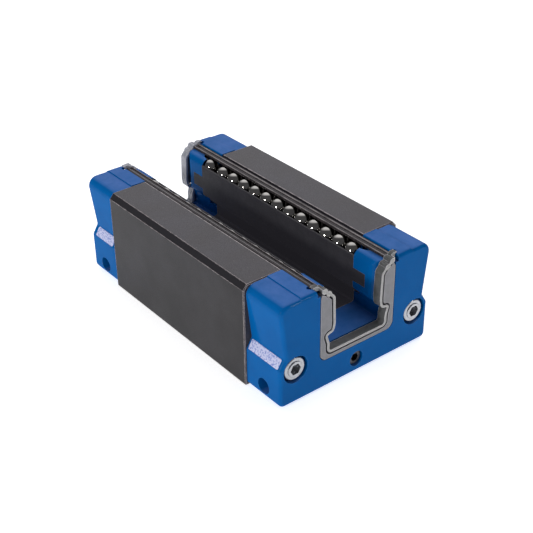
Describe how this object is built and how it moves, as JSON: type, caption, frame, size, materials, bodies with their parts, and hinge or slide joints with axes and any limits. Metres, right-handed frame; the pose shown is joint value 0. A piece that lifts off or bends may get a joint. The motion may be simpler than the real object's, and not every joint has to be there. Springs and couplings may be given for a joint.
{
  "type": "linear guide carriage",
  "caption": "Ball runner carriage for a profile rail: blackened steel U body, blue end caps, grey end seals and recirculating ball rows along a rail channel.",
  "frame": {"origin": "centre of the flat mounting face, which the carriage lies on with its rail channel open upwards", "axes": "+Y along the rail's travel, +X across the carriage, +Z from the mounting face towards the open side of the rail channel"},
  "size_m": [0.048, 0.083, 0.0288],
  "materials": {
    "blackened_steel": "black oxide, fine ground, satin",
    "blue_plastic": "moulded blue plastic, semi gloss",
    "blue_insert": "moulded blue plastic",
    "grey_seal_plate": "grey moulded plastic",
    "grey_rubber": "grey seal rubber",
    "plated_screw": "zinc plated steel",
    "dark_set_screw": "dark grey steel",
    "black_rubber": "black rubber",
    "black_plastic": "black moulded plastic",
    "hardened_steel": "hardened and ground",
    "white_plastic": "natural plastic tube",
    "bearing_steel": "polished bearing steel"
  },
  "bodies": {
    "block": {"carriage_body": "blackened_steel", "front_end_cap": "blue_plastic", "front_seal_plate": "grey_seal_plate", "front_seal_lip": "grey_rubber", "front_cap_screws": "plated_screw", "front_port_plug": "dark_set_screw", "front_port_o_ring": "black_rubber", "front_turn_guide_right": "blue_insert", "front_turn_guide_left": "blue_insert", "rear_end_cap": "blue_plastic", "rear_seal_plate": "grey_seal_plate", "rear_seal_lip": "grey_rubber", "rear_cap_screws": "plated_screw", "rear_port_plug": "dark_set_screw", "rear_port_o_ring": "black_rubber", "rear_turn_guide_right": "blue_insert", "rear_turn_guide_left": "blue_insert", "ball_retainer_right": "black_plastic", "upper_seal_strip_right": "black_plastic", "lower_seal_strip_right": "black_plastic", "upper_bearing_plate_right": "hardened_steel", "upper_return_tube_right": "white_plastic", "lower_bearing_plate_right": "hardened_steel", "lower_return_tube_right": "white_plastic", "ball_retainer_left": "black_plastic", "upper_seal_strip_left": "black_plastic", "lower_seal_strip_left": "black_plastic", "upper_bearing_plate_left": "hardened_steel", "upper_return_tube_left": "white_plastic", "lower_bearing_plate_left": "hardened_steel", "lower_return_tube_left": "white_plastic"},
    "upper_right_load_balls": {"upper_load_balls_right": "bearing_steel"},
    "upper_right_return_balls": {"upper_return_balls_right": "bearing_steel"},
    "upper_right_front_turn_balls": {"upper_front_turn_balls_right": "bearing_steel"},
    "upper_right_rear_turn_balls": {"upper_rear_turn_balls_right": "bearing_steel"},
    "upper_left_load_balls": {"upper_load_balls_left": "bearing_steel"},
    "upper_left_return_balls": {"upper_return_balls_left": "bearing_steel"},
    "upper_left_front_turn_balls": {"upper_front_turn_balls_left": "bearing_steel"},
    "upper_left_rear_turn_balls": {"upper_rear_turn_balls_left": "bearing_steel"},
    "lower_right_load_balls": {"lower_load_balls_right": "bearing_steel"},
    "lower_right_return_balls": {"lower_return_balls_right": "bearing_steel"},
    "lower_right_front_turn_balls": {"lower_front_turn_balls_right": "bearing_steel"},
    "lower_right_rear_turn_balls": {"lower_rear_turn_balls_right": "bearing_steel"},
    "lower_left_load_balls": {"lower_load_balls_left": "bearing_steel"},
    "lower_left_return_balls": {"lower_return_balls_left": "bearing_steel"},
    "lower_left_front_turn_balls": {"lower_front_turn_balls_left": "bearing_steel"},
    "lower_left_rear_turn_balls": {"lower_rear_turn_balls_left": "bearing_steel"}
  },
  "joints": [
    {"name": "upper_right_load_row_slide", "type": "slide", "parent": "block", "child": "upper_right_load_balls", "axis": [0, 1, 0], "range_m": [-0.0028, 0.002]},
    {"name": "upper_right_return_row_slide", "type": "slide", "parent": "block", "child": "upper_right_return_balls", "axis": [0, 1, 0], "range_m": [-0.00201, 0.00281]},
    {"name": "upper_right_front_turnaround", "type": "hinge", "parent": "block", "child": "upper_right_front_turn_balls", "pos_m": [0.0147, -0.0316, 0.02365], "axis": [-0.1981, 0, -0.9802], "range_deg": [-33.56, 24]},
    {"name": "upper_right_rear_turnaround", "type": "hinge", "parent": "block", "child": "upper_right_rear_turn_balls", "pos_m": [0.0147, 0.0316, 0.02365], "axis": [-0.1981, 0, -0.9802], "range_deg": [-33.56, 24]},
    {"name": "upper_left_load_row_slide", "type": "slide", "parent": "block", "child": "upper_left_load_balls", "axis": [0, 1, 0], "range_m": [-0.0028, 0.002]},
    {"name": "upper_left_return_row_slide", "type": "slide", "parent": "block", "child": "upper_left_return_balls", "axis": [0, 1, 0], "range_m": [-0.00201, 0.00281]},
    {"name": "upper_left_front_turnaround", "type": "hinge", "parent": "block", "child": "upper_left_front_turn_balls", "pos_m": [-0.0147, -0.0316, 0.02365], "axis": [-0.1981, 0, 0.9802], "range_deg": [-33.56, 24]},
    {"name": "upper_left_rear_turnaround", "type": "hinge", "parent": "block", "child": "upper_left_rear_turn_balls", "pos_m": [-0.0147, 0.0316, 0.02365], "axis": [-0.1981, 0, 0.9802], "range_deg": [-33.56, 24]},
    {"name": "lower_right_load_row_slide", "type": "slide", "parent": "block", "child": "lower_right_load_balls", "axis": [0, 1, 0], "range_m": [-0.0028, 0.002]},
    {"name": "lower_right_return_row_slide", "type": "slide", "parent": "block", "child": "lower_right_return_balls", "axis": [0, 1, 0], "range_m": [-0.00201, 0.00281]},
    {"name": "lower_right_front_turnaround", "type": "hinge", "parent": "block", "child": "lower_right_front_turn_balls", "pos_m": [0.01425, -0.0316, 0.01665], "axis": [-0.1961, 0, -0.9806], "range_deg": [-37.12, 26.54]},
    {"name": "lower_right_rear_turnaround", "type": "hinge", "parent": "block", "child": "lower_right_rear_turn_balls", "pos_m": [0.01425, 0.0316, 0.01665], "axis": [-0.1961, 0, -0.9806], "range_deg": [-37.12, 26.54]},
    {"name": "lower_left_load_row_slide", "type": "slide", "parent": "block", "child": "lower_left_load_balls", "axis": [0, 1, 0], "range_m": [-0.0028, 0.002]},
    {"name": "lower_left_return_row_slide", "type": "slide", "parent": "block", "child": "lower_left_return_balls", "axis": [0, 1, 0], "range_m": [-0.00201, 0.00281]},
    {"name": "lower_left_front_turnaround", "type": "hinge", "parent": "block", "child": "lower_left_front_turn_balls", "pos_m": [-0.01425, -0.0316, 0.01665], "axis": [-0.1961, 0, 0.9806], "range_deg": [-37.12, 26.54]},
    {"name": "lower_left_rear_turnaround", "type": "hinge", "parent": "block", "child": "lower_left_rear_turn_balls", "pos_m": [-0.01425, 0.0316, 0.01665], "axis": [-0.1961, 0, 0.9806], "range_deg": [-37.12, 26.54]}
  ],
  "couplings": [
    {"joint": "upper_right_return_row_slide", "follows": "upper_right_load_row_slide", "ratio": -1},
    {"joint": "upper_right_front_turnaround", "follows": "upper_right_load_row_slide", "rad_per_m": 208.55},
    {"joint": "upper_right_rear_turnaround", "follows": "upper_right_load_row_slide", "rad_per_m": 208.55},
    {"joint": "upper_left_return_row_slide", "follows": "upper_left_load_row_slide", "ratio": -1},
    {"joint": "upper_left_front_turnaround", "follows": "upper_left_load_row_slide", "rad_per_m": 208.55},
    {"joint": "upper_left_rear_turnaround", "follows": "upper_left_load_row_slide", "rad_per_m": 208.55},
    {"joint": "lower_right_return_row_slide", "follows": "lower_right_load_row_slide", "ratio": -1},
    {"joint": "lower_right_front_turnaround", "follows": "lower_right_load_row_slide", "rad_per_m": 230.72},
    {"joint": "lower_right_rear_turnaround", "follows": "lower_right_load_row_slide", "rad_per_m": 230.72},
    {"joint": "lower_left_return_row_slide", "follows": "lower_left_load_row_slide", "ratio": -1},
    {"joint": "lower_left_front_turnaround", "follows": "lower_left_load_row_slide", "rad_per_m": 230.72},
    {"joint": "lower_left_rear_turnaround", "follows": "lower_left_load_row_slide", "rad_per_m": 230.72}
  ]
}
